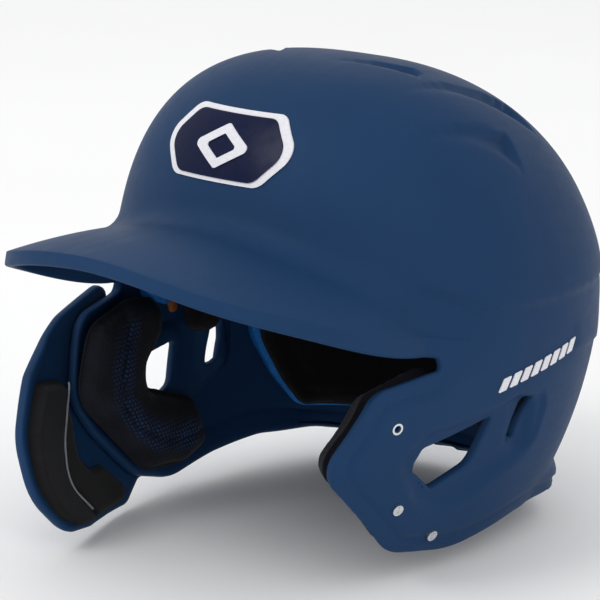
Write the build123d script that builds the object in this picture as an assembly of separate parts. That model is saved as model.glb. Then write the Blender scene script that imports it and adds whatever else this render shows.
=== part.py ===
from build123d import *
from math import atan2, cos, pi, radians, sin
import os

# Batting helmet with two ear flaps and a jaw guard on the wearer's right.
# Millimetres. X runs to the wearer's left, the brim points along -Y and Z is up.
# The origin is the midpoint between the two ear holes.

# The dome is a tilted superellipse egg, centred above and behind the ears.
DOME_CENTRE = Vector(0, 39.1, 52.8)
DOME_TILT = radians(12.6)
HALF_WIDTH = 110.0
FRONT_HALF = 100.0
REAR_HALF = 125.0
CROWN_RISE = 109.5
PLAN_POWER = 2.2
BROW_POWER = 2.94
NAPE_POWER = 1.98
# Below the brow the walls taper in, and the flaps run forward nearly straight.
TAPER = 0.198
FLAP_FRONT_HALF = 165.0
FLAP_POWER_RISE = 0.3
FLAP_BLEND_DEPTH = 45.0
# Loft sections: angles down from the crown, then depths below the brow line.
CROWN_ANGLES = [10, 22, 35, 48, 60, 72, 82]
WALL_DEPTHS = [0, 15, 30, 45, 60, 80, 100, 125]
SECTION_POINTS = 36

WALL = 3.2
REACH = 400.0

# Outlines are corners (u, v, corner radius). Side outlines use (y, z).
SHELL_OUTLINE = [
    (-160, 190, 5), (-160, 112, 5), (-63, 97, 8), (-6, 50.5, 6), (-44, 38.5, 12), (-67, 3, 13),
    (-22, -44, 24), (16, -50.5, 60), (60, -44, 60), (180, -43, 5), (180, 190, 5),
]
EAR_HOLE = [(-15.5, 7.5, 3), (22, 13.5, 3), (14.5, -7, 9), (-5.5, -15, 4), (-21, -2.5, 4)]
SIDE_VENT = [(42, 19.5, 2), (53, 18, 2), (47.5, -1.5, 2), (36.5, 2, 2)]

# Brim: the lip's curve in plan and its fall from the tip to the temples.
LIP_HALF_WIDTH = 100.0
LIP_START_Y = -17.0
LIP_REACH = 105.0
LIP_POWER = 2.9
LIP_END_Z = 56.0
LIP_RISE = 39.5
LIP_STEEP_SHARE = 0.22
LIP_WAVE = 1.9
BRIM_ROOT_RISE = 3.0
BRIM_SIDE_RISE = 15.0
BRIM_EMBED = 1.6
BRIM_SAG = 1.0
BRIM_THICKNESS = 4.8
BRIM_SWEEP = radians(80)

# Fasteners: #8-32 tee nuts in both flaps, at (y, z).
FASTENERS = [(-35.5, 21.0), (-25.8, -19.5), (0.4, -38.3)]
THREAD_RADIUS = 1.73
SCREW_RADIUS = 1.68
BARREL_RADIUS = 2.7
BARREL_HOLE_RADIUS = 2.8
BARREL_LENGTH = 4.2
FLANGE_RADIUS = 5.5
FLANGE_THICKNESS = 1.0
FLANGE_DEPTH = 3.9
SCREW_HOLE_RADIUS = 2.3
SCREW_HEAD_RADIUS = 4.2
SCREW_HEAD_HEIGHT = 2.0
PLUG_HEAD_HEIGHT = 0.7

# Jaw guard, on the right flap and forward of it. Its outlines use (y, z) too.
GUARD_OUTLINE = [
    (-20, 47, 5), (-57, 38.5, 10), (-67, 24, 8), (-89, 18, 10), (-102, -6, 22), (-96, -33, 22),
    (-72, -57.5, 22), (-30, -56, 16), (-14, -46.5, 8), (9, -46, 5), (12, -35, 5), (-4, -26, 8),
    (-30, -8, 8), (-26, 20, 8), (-12, 42, 3),
]
GUARD_FRONT_PAD = [
    (-67, 15, 4), (-87, 13, 6), (-96, -6, 16), (-91, -30, 16), (-71, -51, 14), (-55, -52, 4),
    (-67, -34, 20),
]
GUARD_LOWER_PAD = [
    (-65.5, -2, 2), (-65.5, -32, 16), (-53, -51, 3), (-36, -51, 5), (-34, -43, 5), (-50, -28, 8),
]
GUARD_GAP = 1.0
GUARD_WALL = 4.0
GUARD_FLEX_Y = -48.0
GUARD_CURL = 0.0012
GUARD_PAD = 8.0
GUARD_STRIP = 3.0

# Foam and cloth. EAR_PAD is J-shaped: in front of the ear and under it.
EAR_PAD = [
    (-43, 34, 8), (-62, 4, 12), (-21, -39, 18), (8, -45, 12), (29, -39, 9), (27, -17, 9),
    (4, -9, 8), (-13, -3, 10), (-10, 10, 10), (4, 24, 6), (5, 40, 8), (-16, 43, 6),
]
SIDE_LINER = [
    (13, 34, 3), (29, 31, 5), (38, 21, 6), (55, 21, 6), (60, 40, 8), (52, 84, 14), (-8, 84, 14),
    (-16, 60, 8), (10, 50, 6),
]
FRONT_LINER = [(-66, 104, 8), (-60, 130, 12), (60, 130, 12), (66, 104, 8), (0, 98, 40)]
REAR_LINER = [(-84, 60, 16), (-90, 8, 20), (-72, -28, 10), (72, -28, 10), (90, 8, 20), (84, 60, 16)]
CROWN_LINER = [(-58, 12, 20), (-58, 98, 26), (58, 98, 26), (58, 12, 20)]
PAD_INSET = 0.88
LINER_GAP = 0.5
LINER = 11.0
PAD_GAP = 0.7
COMFORT_PAD = 8.0
BACKING_GAP = 3.4
EAR_PAD_BACKING = 2.0
EAR_PAD_THICKNESS = 15.0
FIT_TAB = [(16, 29, 1), (23, 30.5, 1), (25, 21, 3), (19, 19, 3)]
FIT_TAB_THICKNESS = 1.5

# Graphics: a six-sided badge on the brow and a slanted row of bars on each side.
BADGE = [(-39.5, 132, 8), (-26, 147, 8), (26, 147, 8), (39.5, 132, 8), (26, 117, 8), (-26, 117, 8)]
BADGE_FIELD_SCALE = 0.88
BADGE_MARK = [(-17, 132, 2), (0, 141.5, 2), (17, 132, 2), (0, 122.5, 2)]
BADGE_MARK_HOLE_SCALE = 0.55
DECAL = 0.4
DECAL_GAP = 0.2
BAR_COUNT = 8
BAR_START = Vector(23.5, 26.5)
BAR_END = Vector(73.5, 34.0)
BAR_LENGTH = 5.2
BAR_HEIGHT = 6.2
BAR_SLANT = 1.6

SIDE_PLANE = Plane(origin=(0, 0, 0), x_dir=(0, 1, 0), z_dir=(1, 0, 0))
TOP_PLANE = Plane(origin=(0, 0, 0), x_dir=(1, 0, 0), z_dir=(0, 0, 1))
FRONT_PLANE = Plane(origin=(0, 0, 0), x_dir=(1, 0, 0), z_dir=(0, -1, 0))
REAR_PLANE = Plane(origin=(0, 0, 0), x_dir=(-1, 0, 0), z_dir=(0, 1, 0))


def blend(t):
    """Smooth step from 0 to 1."""
    t = min(max(t, 0.0), 1.0)
    return t * t * (3 - 2 * t)


def spread(low, high, count):
    return [low + (high - low) * i / (count - 1) for i in range(count)]


# The dome's surface

def outside(point, offset):
    """Positive outside the dome grown by offset, and negative inside it."""
    local = point - DOME_CENTRE
    along = local.Y * cos(DOME_TILT) - local.Z * sin(DOME_TILT)
    above = local.Y * sin(DOME_TILT) + local.Z * cos(DOME_TILT)
    depth = max(0.0, -above)
    half_length = REAR_HALF + offset
    power = PLAN_POWER
    if along < 0:
        straight = blend(depth / FLAP_BLEND_DEPTH)
        half_length = FRONT_HALF + (FLAP_FRONT_HALF - FRONT_HALF) * straight + offset
        power = PLAN_POWER + FLAP_POWER_RISE * straight
    across_term = abs(local.X / (HALF_WIDTH + offset)) ** power
    plan = (across_term + abs(along / half_length) ** power) ** (1 / power)
    if above <= 0:
        return plan - (1 - TAPER * (depth / 100) ** 2)
    rearward = (1 - cos(atan2(local.X, -along))) / 2
    profile = BROW_POWER + (NAPE_POWER - BROW_POWER) * rearward
    height = above / (CROWN_RISE + offset)
    return (plan ** profile + height ** profile) ** (1 / profile) - 1


def hit(start, direction, offset):
    """Where a ray from inside the dome meets the dome grown by offset."""
    near, far = 0.0, REACH
    for _ in range(34):
        middle = (near + far) / 2
        if outside(start + direction * middle, offset) > 0:
            far = middle
        else:
            near = middle
    return start + direction * near


def side_height(y, z, offset):
    return hit(Vector(0, y, z), Vector(1, 0, 0), offset).X


def guard_height(y, z, offset):
    """The guard follows the flap, then runs on forward from it with a slight curl."""
    if y >= GUARD_FLEX_Y:
        return side_height(y, z, offset)
    start = side_height(GUARD_FLEX_Y, z, offset)
    slope = side_height(GUARD_FLEX_Y + 1, z, offset) - start
    run = GUARD_FLEX_Y - y
    return start - slope * run - GUARD_CURL * run * run


def crown_height(x, y, offset):
    return hit(Vector(x, y, DOME_CENTRE.Z), Vector(0, 0, 1), offset).Z


def front_height(x, z, offset):
    return -hit(Vector(x, DOME_CENTRE.Y, z), Vector(0, -1, 0), offset).Y


def rear_height(u, z, offset):
    return hit(Vector(-u, DOME_CENTRE.Y, z), Vector(0, 1, 0), offset).Y


# Solids from outlines

def flat(corners):
    points = [(u, v) for u, v, _ in corners]
    radii = [radius for _, _, radius in corners]
    return make_face(FilletPolyline(*points, radius=radii, close=True))


def prism(corners, plane, low, high):
    """The outline on plane, extruded from height low to height high above it."""
    return extrude(plane.offset(low) * flat(corners), high - low)


def scaled(corners, factor):
    """The outline shrunk about the middle of its corners."""
    middle_u = sum(u for u, _, _ in corners) / len(corners)
    middle_v = sum(v for _, v, _ in corners) / len(corners)
    return [(middle_u + (u - middle_u) * factor, middle_v + (v - middle_v) * factor, radius * factor)
            for u, v, radius in corners]


def under(height, corners, plane, offset, depth, margin=2.0, count=17):
    """Block from a curved surface down to depth below it, a little wider than the outline."""
    us = [u for u, _, _ in corners]
    vs = [v for _, v, _ in corners]
    rows = [[plane.from_local_coords(Vector(u, v, height(u, v, offset)))
             for v in spread(min(vs) - margin, max(vs) + margin, count)]
            for u in spread(min(us) - margin, max(us) + margin, count)]
    surface = Face.make_surface_from_array_of_points(rows, tol=0.05)
    return Solid.extrude(surface, plane.z_dir * -depth)


def slab(height, corners, plane, inner, outer):
    """Solid between two offsets of a curved surface, inside the outline."""
    cutter = prism(corners, plane, 0, REACH)
    body = cutter & under(height, corners, plane, outer, 60)
    return body - under(height, corners, plane, inner, 120)


def side_slab(corners, inner, outer):
    return slab(side_height, corners, SIDE_PLANE, inner, outer)


def mirrored(shape):
    return mirror(shape, about=Plane.YZ)


# Shell

def dome_section(above, offset):
    centre = DOME_CENTRE + Vector(0, sin(DOME_TILT), cos(DOME_TILT)) * above
    turns = [2 * pi * i / SECTION_POINTS for i in range(SECTION_POINTS)]
    points = [hit(centre, Vector(sin(t), -cos(t) * cos(DOME_TILT), cos(t) * sin(DOME_TILT)), offset)
              for t in turns]
    return make_face(Spline(*points, periodic=True))


def egg(offset):
    """The dome and its walls as one closed body, grown by offset."""
    rise = CROWN_RISE + offset
    heights = [rise * cos(radians(angle)) for angle in CROWN_ANGLES]
    heights += [-depth for depth in WALL_DEPTHS]
    crown = DOME_CENTRE + Vector(0, sin(DOME_TILT), cos(DOME_TILT)) * rise
    return loft([Vertex(*crown)] + [dome_section(height, offset) for height in heights])


def lip(turn):
    """Point on the brim's lip, from the tip at 0 to the temples at 90 degrees either way."""
    side = 1 if turn >= 0 else -1
    ahead = max(cos(turn), 0.0)
    x = side * LIP_HALF_WIDTH * abs(sin(turn)) ** (2 / LIP_POWER)
    y = LIP_START_Y - LIP_REACH * ahead ** (2 / LIP_POWER)
    fall = (1 - LIP_STEEP_SHARE) * ahead + LIP_STEEP_SHARE * ahead ** 5
    wave = LIP_WAVE * (sin(2 * turn) ** 2 - sin(4 * abs(turn)))
    return Vector(x, y, LIP_END_Z + LIP_RISE * fall + wave)


def brim_root(turn):
    """Where the brim's top meets the dome, a little inside its wall."""
    edge = lip(turn)
    height = edge.Z + BRIM_ROOT_RISE + BRIM_SIDE_RISE * sin(turn) ** 2
    middle = Vector(0, DOME_CENTRE.Y, height)
    direction = Vector(edge.X, edge.Y - DOME_CENTRE.Y, 0).normalized()
    return hit(middle, direction, -BRIM_EMBED)


def brim():
    rows = []
    for turn in spread(-BRIM_SWEEP, BRIM_SWEEP, 25):
        root, edge = brim_root(turn), lip(turn)
        rows.append([root + (edge - root) * u - Vector(0, 0, BRIM_SAG * 4 * u * (1 - u))
                     for u in spread(0, 1, 5)])
    top = Face.make_surface_from_array_of_points(rows, tol=0.05)
    return Solid.extrude(top, Vector(0, 0, -BRIM_THICKNESS))


def flap_plane(y, z, offset=0.0):
    """Plane on the left flap's outer surface, with its z along the outward normal."""
    x = side_height(y, z, offset)
    slope_y = side_height(y + 0.5, z, offset) - side_height(y - 0.5, z, offset)
    slope_z = side_height(y, z + 0.5, offset) - side_height(y, z - 0.5, offset)
    return Plane(origin=(x, y, z), z_dir=(1, -slope_y, -slope_z))


def rod(radius, low, high):
    """Upright cylinder between two heights."""
    return Pos(0, 0, low) * Cylinder(radius, high - low, align=(Align.CENTER, Align.CENTER, Align.MIN))


def shell():
    body = (egg(0) - egg(-WALL)) & prism(SHELL_OUTLINE, SIDE_PLANE, -130, 130)
    body += brim()
    body -= prism(EAR_HOLE, SIDE_PLANE, -130, 130)
    body -= prism(SIDE_VENT, SIDE_PLANE, -130, 130)
    for y, z in FASTENERS:
        hole = flap_plane(y, z) * rod(BARREL_HOLE_RADIUS, -12, 12)
        body -= hole
        body -= mirrored(hole)
    return body


# Jaw guard and fasteners

def jaw_guard():
    body = slab(guard_height, GUARD_OUTLINE, SIDE_PLANE, GUARD_GAP, GUARD_GAP + GUARD_WALL)
    for y, z in FASTENERS:
        body -= flap_plane(y, z) * rod(SCREW_HOLE_RADIUS, -8, 16)
    return mirrored(body)


def tee_nut():
    body = rod(BARREL_RADIUS, -BARREL_LENGTH, 0.1)
    body += rod(FLANGE_RADIUS, -FLANGE_DEPTH - FLANGE_THICKNESS, -FLANGE_DEPTH)
    return body - rod(THREAD_RADIUS, -12, 6)


def guard_screw():
    seat = GUARD_GAP + GUARD_WALL + 0.2
    head = rod(SCREW_HEAD_RADIUS, seat, seat + SCREW_HEAD_HEIGHT)
    head = fillet(head.edges().sort_by(Axis.Z)[-1], 1.2)
    recess = Box(4.4, 1.0, 1.6) + Box(1.0, 4.4, 1.6)
    head -= Pos(0, 0, seat + SCREW_HEAD_HEIGHT) * recess
    return head + rod(SCREW_RADIUS, -FLANGE_DEPTH, seat)


def plug_screw():
    seat = 0.15
    head = rod(BARREL_RADIUS, seat, seat + PLUG_HEAD_HEIGHT)
    head -= Pos(0, 0, seat + PLUG_HEAD_HEIGHT) * Box(4.0, 0.8, 0.7)
    return head + rod(SCREW_RADIUS, -FLANGE_DEPTH, seat)


def placed(fastener, places):
    """Copies of a fastener on the left flap, each along the surface's normal there."""
    return [flap_plane(y, z) * fastener for y, z in places]


# Liner and pads

def liner_pair(height, corners, plane):
    """An impact-foam block on the shell, and the softer cloth-covered pad on it."""
    foam_outer = -WALL - LINER_GAP
    foam_inner = foam_outer - LINER
    pad_outer = foam_inner - PAD_GAP
    foam = slab(height, corners, plane, foam_inner, foam_outer)
    pad = slab(height, scaled(corners, PAD_INSET), plane, pad_outer - COMFORT_PAD, pad_outer)
    return foam, pad


def ear_pad_pair():
    backing_outer = -WALL - BACKING_GAP
    backing_inner = backing_outer - EAR_PAD_BACKING
    backing = side_slab(scaled(EAR_PAD, 0.8), backing_inner, backing_outer)
    pad_outer = backing_inner - PAD_GAP
    pad = side_slab(EAR_PAD, pad_outer - EAR_PAD_THICKNESS, pad_outer)
    return backing, pad


def fit_tab():
    outer = -WALL - LINER_GAP
    return mirrored(side_slab(FIT_TAB, outer - FIT_TAB_THICKNESS, outer))


def guard_pad(corners, thickness):
    outer = GUARD_GAP - PAD_GAP
    return mirrored(slab(guard_height, corners, SIDE_PLANE, outer - thickness, outer))


# Graphics

def badge_layer(corners, layer):
    low = DECAL_GAP + layer * (DECAL + DECAL_GAP / 2)
    return slab(front_height, corners, FRONT_PLANE, low, low + DECAL)


def badge_mark():
    ring = badge_layer(BADGE_MARK, 2)
    return ring - prism(scaled(BADGE_MARK, BADGE_MARK_HOLE_SCALE), FRONT_PLANE, 0, REACH)


def side_graphic():
    bars = []
    for i in range(BAR_COUNT):
        start = BAR_START + (BAR_END - BAR_START) * (i / (BAR_COUNT - 1))
        corners = [
            (start.X - BAR_SLANT, start.Y, 0.5),
            (start.X + BAR_LENGTH - BAR_SLANT, start.Y + 0.7, 0.5),
            (start.X + BAR_LENGTH + BAR_SLANT, start.Y + BAR_HEIGHT + 0.7, 0.5),
            (start.X + BAR_SLANT, start.Y + BAR_HEIGHT, 0.5),
        ]
        bars.append(side_slab(corners, DECAL_GAP, DECAL_GAP + DECAL))
    return bars


def group(parts):
    """Separate solids kept together as one node."""
    return Compound(children=[solid for part in parts for solid in part.solids()])


def main():
    os.makedirs("parts", exist_ok=True)
    front_liner, front_pad = liner_pair(front_height, FRONT_LINER, FRONT_PLANE)
    rear_liner, rear_pad = liner_pair(rear_height, REAR_LINER, REAR_PLANE)
    crown_liner, crown_pad = liner_pair(crown_height, CROWN_LINER, TOP_PLANE)
    left_liner, left_pad = liner_pair(side_height, SIDE_LINER, SIDE_PLANE)
    left_backing, left_ear_pad = ear_pad_pair()
    left_bars = side_graphic()
    nuts = placed(tee_nut(), FASTENERS)
    screws = placed(guard_screw(), FASTENERS)
    nodes = {
        "shell": shell(),
        "badge_base": badge_layer(BADGE, 0),
        "badge_field": badge_layer(scaled(BADGE, BADGE_FIELD_SCALE), 1),
        "badge_mark": badge_mark(),
        "left_side_graphic": group(left_bars),
        "right_side_graphic": group([mirrored(bar) for bar in left_bars]),
        "jaw_guard": jaw_guard(),
        "guard_front_pad": guard_pad(GUARD_FRONT_PAD, GUARD_PAD),
        "guard_lower_pad": guard_pad(GUARD_LOWER_PAD, GUARD_STRIP),
        "guard_screws": group([mirrored(screw) for screw in screws]),
        "right_tee_nuts": group([mirrored(nut) for nut in nuts]),
        "left_tee_nuts": group(nuts),
        "left_plug_screws": group(placed(plug_screw(), FASTENERS[1:])),
        "front_liner": front_liner,
        "front_pad": front_pad,
        "crown_liner": crown_liner,
        "crown_pad": crown_pad,
        "rear_liner": rear_liner,
        "rear_pad": rear_pad,
        "left_liner": left_liner,
        "left_pad": left_pad,
        "right_liner": mirrored(left_liner),
        "right_pad": mirrored(left_pad),
        "left_ear_pad": left_ear_pad,
        "left_ear_pad_backing": left_backing,
        "right_ear_pad": mirrored(left_ear_pad),
        "right_ear_pad_backing": mirrored(left_backing),
        "fit_tab": fit_tab(),
    }
    for name, shape in nodes.items():
        export_step(shape, f"parts/{name}.step")


if __name__ == "__main__":
    main()
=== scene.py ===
import bpy
import math
import numpy as np
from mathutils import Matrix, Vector
from mathutils.kdtree import KDTree


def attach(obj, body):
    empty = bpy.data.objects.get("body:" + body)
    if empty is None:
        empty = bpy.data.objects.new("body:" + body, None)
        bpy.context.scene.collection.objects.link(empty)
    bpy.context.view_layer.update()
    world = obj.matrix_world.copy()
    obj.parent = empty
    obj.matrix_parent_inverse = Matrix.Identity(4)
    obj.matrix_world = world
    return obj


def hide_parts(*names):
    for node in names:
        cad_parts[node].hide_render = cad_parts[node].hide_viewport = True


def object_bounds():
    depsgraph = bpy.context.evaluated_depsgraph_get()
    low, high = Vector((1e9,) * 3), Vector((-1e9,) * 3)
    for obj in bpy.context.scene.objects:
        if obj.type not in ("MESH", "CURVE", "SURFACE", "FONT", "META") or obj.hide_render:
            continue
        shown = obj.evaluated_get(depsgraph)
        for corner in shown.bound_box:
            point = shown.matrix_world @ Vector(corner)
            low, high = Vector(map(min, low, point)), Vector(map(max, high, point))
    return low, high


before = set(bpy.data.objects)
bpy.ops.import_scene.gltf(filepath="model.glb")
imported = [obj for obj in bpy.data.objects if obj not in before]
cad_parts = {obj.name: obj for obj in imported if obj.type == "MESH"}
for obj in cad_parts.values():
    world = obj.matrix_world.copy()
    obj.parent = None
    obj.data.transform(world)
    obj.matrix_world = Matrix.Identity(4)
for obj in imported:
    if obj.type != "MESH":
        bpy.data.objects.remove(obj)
CAD_BOX = [list(corner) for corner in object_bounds()]

# Lengths here are millimetres, in the CAD's frame, and are scaled to metres when a mesh is made.
MM = 0.001

# The dome, as in the CAD: a tilted superellipse egg with tapering walls.
CENTRE_Y, CENTRE_Z = 39.1, 52.8
TILT = math.radians(12.6)
HALF_WIDTH, FRONT_HALF, REAR_HALF, CROWN_RISE = 110.0, 100.0, 125.0, 109.5
PLAN_POWER, BROW_POWER, NAPE_POWER = 2.2, 2.94, 1.98
TAPER, FLAP_FRONT_HALF, FLAP_POWER_RISE, FLAP_BLEND_DEPTH = 0.198, 165.0, 0.3, 45.0
WALL = 3.2
RIM_GROWTH = 1.3
RIM_BULGE = 1.7

# Outlines are corners (u, v, radius); on the sides u is y and v is z.
FLAP_OUTLINE = [
    (-9.6, 49.9, 4.0), (-9.6, 41.5, 4.2), (-46, 37.0, 12), (-65, 3, 13), (-21, -42, 24),
    (16, -48.5, 60), (60, -41.5, 60), (100, -42.5, 60), (160, -52, 5), (200, -56, 5),
    (200, 190, 5), (-14.5, 190, 0), (-14.5, 51, 0),
]
EAR_HOLE = [(-17, 8.5, 4), (27, 16.2, 2.5), (16.5, -8, 9), (-5.5, -16.5, 5), (-22.5, -2.5, 5)]
SIDE_VENT = [(44, 20.5, 2.2), (52, 19.5, 2.2), (45.5, -3, 2.2), (36.5, 0.5, 2.2)]
EAR_RECESS = [
    (24, 21, 14), (-19, 17, 9), (-34, 3, 9), (-17, -21, 12), (0, -31, 30), (30, -18, 40),
    (56, -8, 12), (54, 18, 9), (40, 25, 12),
]
# The right half's flap, hole and vent differ a little from the left half's.
RIGHT_FLAP_OUTLINE = [
    (-9.6, 49.9, 4.0), (-9.6, 41.5, 4.2), (-38, 36.0, 12), (-54, -1, 14), (-43, -18, 30),
    (-21, -42, 18), (4, -49, 30), (36, -44.5, 60), (69, -41, 60), (100, -42.5, 60), (160, -52, 5),
    (200, -56, 5),
    (200, 190, 5), (-14.5, 190, 0), (-14.5, 51, 0),
]
RIGHT_EAR_HOLE = [(-13, 7.5, 4), (27.5, 13.5, 3), (18, -9, 9), (-1.5, -17, 5), (-18.5, -3, 5)]
RIGHT_SIDE_VENT = [(50, 20, 2.2), (61, 19, 2.2), (51, -3.5, 2.4), (41, -6, 2.2)]
RIGHT_SHIFT = 6.0    # how far back the right half's recess and creases sit
FASTENERS = [(-35.5, 21.0), (-25.8, -19.5), (0.4, -38.3)]
FASTENER_RADIUS, GUARD_FASTENER_RADIUS = 2.85, 2.4
MIRROR = np.array([-1, 1, 1])

LIP_HALF_WIDTH, LIP_START_Y, LIP_REACH, LIP_POWER = 100.0, -17.0, 105.0, 2.9
LIP_END_Z, LIP_RISE, LIP_STEEP_SHARE, LIP_WAVE = 51.0, 39.5, 0.22, 1.9


def smooth(t):
    t = np.clip(t, 0.0, 1.0)
    return t * t * (3 - 2 * t)


# Outlines and distances

def rounded(corners, step=0.7):
    """Closed polyline through the corners, each one rounded to its radius."""
    points = []
    count = len(corners)
    for i, (u, v, radius) in enumerate(corners):
        p = np.array((u, v), float)
        before = np.array(corners[i - 1][:2], float) - p
        after = np.array(corners[(i + 1) % count][:2], float) - p
        before /= np.linalg.norm(before)
        after /= np.linalg.norm(after)
        half = math.acos(np.clip(before @ after, -1, 1)) / 2
        if radius <= 0 or half > 1.56:
            points.append(p)
            continue
        middle = (before + after) / np.linalg.norm(before + after)
        centre = p + middle * radius / math.sin(half)
        start = p + before * radius / math.tan(half) - centre
        end = p + after * radius / math.tan(half) - centre
        turn = math.atan2(start[0] * end[1] - start[1] * end[0], start @ end)
        steps = max(3, int(abs(turn) * radius / step))
        for k in range(steps + 1):
            a = turn * k / steps
            points.append(centre + (start[0] * math.cos(a) - start[1] * math.sin(a),
                                    start[0] * math.sin(a) + start[1] * math.cos(a)))
    return np.array(points)


def inside(points, line):
    """Distance to a closed polyline, positive inside it."""
    a, b = line, np.roll(line, -1, 0)
    d = b - a
    length = (d * d).sum(1) + 1e-12
    rise = np.where(np.abs(d[:, 1]) < 1e-9, 1e-9, d[:, 1])
    result = np.empty(len(points))
    for first in range(0, len(points), 4000):
        p = points[first:first + 4000]
        r = p[:, None, :] - a[None]
        t = np.clip((r * d).sum(2) / length, 0, 1)
        gap = r - t[..., None] * d
        distance = np.sqrt((gap * gap).sum(2)).min(1)
        over = (a[None, :, 1] > p[:, None, 1]) != (b[None, :, 1] > p[:, None, 1])
        left = p[:, None, 0] < d[:, 0] / rise * (p[:, None, 1] - a[:, 1]) + a[:, 0]
        result[first:first + 4000] = np.where((over & left).sum(1) % 2 == 1, distance, -distance)
    return result


def along(points, line):
    """Distance from an open polyline, its sign by side, and how far along it (0 to 1)."""
    best = np.full(len(points), 1e9)
    side = np.zeros(len(points))
    share = np.zeros(len(points))
    line = np.array(line, float)
    lengths = np.linalg.norm(np.diff(line, axis=0), axis=1)
    reach = np.concatenate([[0], np.cumsum(lengths)]) / lengths.sum()
    for i in range(len(line) - 1):
        a, d = line[i], line[i + 1] - line[i]
        t = np.clip(((points - a) @ d) / (d @ d), 0, 1)
        gap = points - a - t[:, None] * d
        distance = np.linalg.norm(gap, axis=1)
        nearer = distance < best
        best = np.where(nearer, distance, best)
        cross = d[0] * (points[:, 1] - a[1]) - d[1] * (points[:, 0] - a[0])
        side = np.where(nearer, np.sign(cross), side)
        share = np.where(nearer, reach[i] + t * (reach[i + 1] - reach[i]), share)
    return best, side, share


class Region:
    """What is inside one outline and outside the holes."""

    def __init__(self, outline, holes=(), discs=()):
        self.line = rounded(outline)
        self.holes = [rounded(hole) for hole in holes]
        self.discs = discs

    def __call__(self, points):
        value = inside(points, self.line)
        for hole in self.holes:
            value = np.minimum(value, -inside(points, hole))
        for u, v, radius in self.discs:
            value = np.minimum(value, np.hypot(points[:, 0] - u, points[:, 1] - v) - radius)
        return value

    def slope(self, points, step=0.05):
        du = self(points + (step, 0)) - self(points - (step, 0))
        dv = self(points + (0, step)) - self(points - (0, step))
        return np.stack([du, dv], 1) / (2 * step)


def clip(quads, value):
    """Keeps the part of each face where value is positive. Returns faces and cut edges."""
    cuts = {}

    def cut(a, b):
        return cuts.setdefault((min(a, b), max(a, b)), len(value) + len(cuts))

    lowest, highest = value[quads].min(1), value[quads].max(1)
    faces = [tuple(q) for q in quads[lowest >= 0].tolist()]
    for q in quads[(lowest < 0) & (highest > 0)].tolist():
        ring = []
        for a, b in zip(q, q[1:] + q[:1]):
            if value[a] >= 0:
                ring.append(a)
            if value[a] * value[b] < 0:
                ring.append(cut(a, b))
        if len(ring) >= 3:
            faces.append(tuple(ring))
    return faces, sorted(cuts, key=cuts.get)


def grid_quads(rows, columns, start=0):
    index = start + np.arange(rows * columns).reshape(rows, columns)
    return np.stack([index[:-1, :-1], index[1:, :-1], index[1:, 1:], index[:-1, 1:]], -1).reshape(-1, 4)


def loops(faces):
    """The boundary loops of a surface, each in its faces' direction."""
    edges = set()
    for face in faces:
        for a, b in zip(face, face[1:] + face[:1]):
            edges.add((a, b))
    after = {}
    for a, b in edges:
        if (b, a) not in edges:
            after.setdefault(a, []).append(b)
    found = []
    for first in sorted(after):
        while after.get(first):
            loop, here = [], first
            while after.get(here):
                loop.append(here)
                here = after[here].pop()
            if len(loop) > 2:
                found.append(np.array(loop))
    return found


RIM_ROWS = 5


def closed_sheet(outer, inner, faces, bulge, power=0.62):
    """Two skins joined by a rounded rim round each boundary loop."""
    count = len(outer)
    points = [outer, inner]
    result = list(faces) + [tuple(count + i for i in reversed(face)) for face in faces]
    total = 2 * count
    for loop in loops(faces):
        o, i = outer[loop], inner[loop]
        run = np.roll(o, -1, 0) - np.roll(o, 1, 0)
        across = o - i
        out = np.cross(run, across)
        out /= np.linalg.norm(out, axis=1)[:, None] + 1e-9
        rows = [loop]
        amount = bulge[loop][:, None] if isinstance(bulge, np.ndarray) else bulge
        for k in range(1, RIM_ROWS + 1):
            a = math.pi * k / (RIM_ROWS + 1)
            c = math.copysign(abs(math.cos(a)) ** power, math.cos(a))
            points.append((o + i) / 2 + across / 2 * c + out * amount * math.sin(a) ** power)
            rows.append(total + np.arange(len(loop)))
            total += len(loop)
        rows.append(loop + count)
        for upper, lower in zip(rows[:-1], rows[1:]):
            next_upper, next_lower = np.roll(upper, -1), np.roll(lower, -1)
            result += list(zip(next_upper.tolist(), upper.tolist(), lower.tolist(), next_lower.tolist()))
    return np.concatenate(points), result


def add_object(name, data):
    made = bpy.data.objects.new(name, data)
    bpy.context.scene.collection.objects.link(made)
    return made


def piece(name, points, faces, material):
    """A smooth mesh object from points in millimetres, without the points that no face uses."""
    used = np.zeros(len(points), bool)
    used[np.fromiter((i for face in faces for i in face), int)] = True
    number = np.cumsum(used) - 1
    mesh = bpy.data.meshes.new(name)
    mesh.from_pydata((points[used] * MM).tolist(), [], [tuple(int(number[i]) for i in f) for f in faces])
    mesh.validate()
    mesh.update()
    mesh.polygons.foreach_set("use_smooth", [True] * len(mesh.polygons))
    made = add_object(name, mesh)
    mesh.materials.append(material)
    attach(made, "root")
    return made, used


# The dome's surface

def outside(x, y, z, offset):
    across, back, up = np.abs(x), y - CENTRE_Y, z - CENTRE_Z
    run = back * math.cos(TILT) - up * math.sin(TILT)
    above = back * math.sin(TILT) + up * math.cos(TILT)
    depth = np.maximum(0.0, -above)
    straight = np.where(run < 0, smooth(depth / FLAP_BLEND_DEPTH), 0)
    half_length = np.where(run < 0, FRONT_HALF + (FLAP_FRONT_HALF - FRONT_HALF) * straight, REAR_HALF)
    power = PLAN_POWER + FLAP_POWER_RISE * straight
    plan = ((across / (HALF_WIDTH + offset)) ** power
            + (np.abs(run) / (half_length + offset)) ** power) ** (1 / power)
    profile = BROW_POWER + (NAPE_POWER - BROW_POWER) * (1 - np.cos(np.arctan2(across, -run))) / 2
    height = np.maximum(above, 0) / (CROWN_RISE + offset)
    domed = (plan ** profile + height ** profile) ** (1 / profile) - 1
    return np.where(above <= 0, plan - (1 - TAPER * (depth / 100) ** 2), domed)


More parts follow.
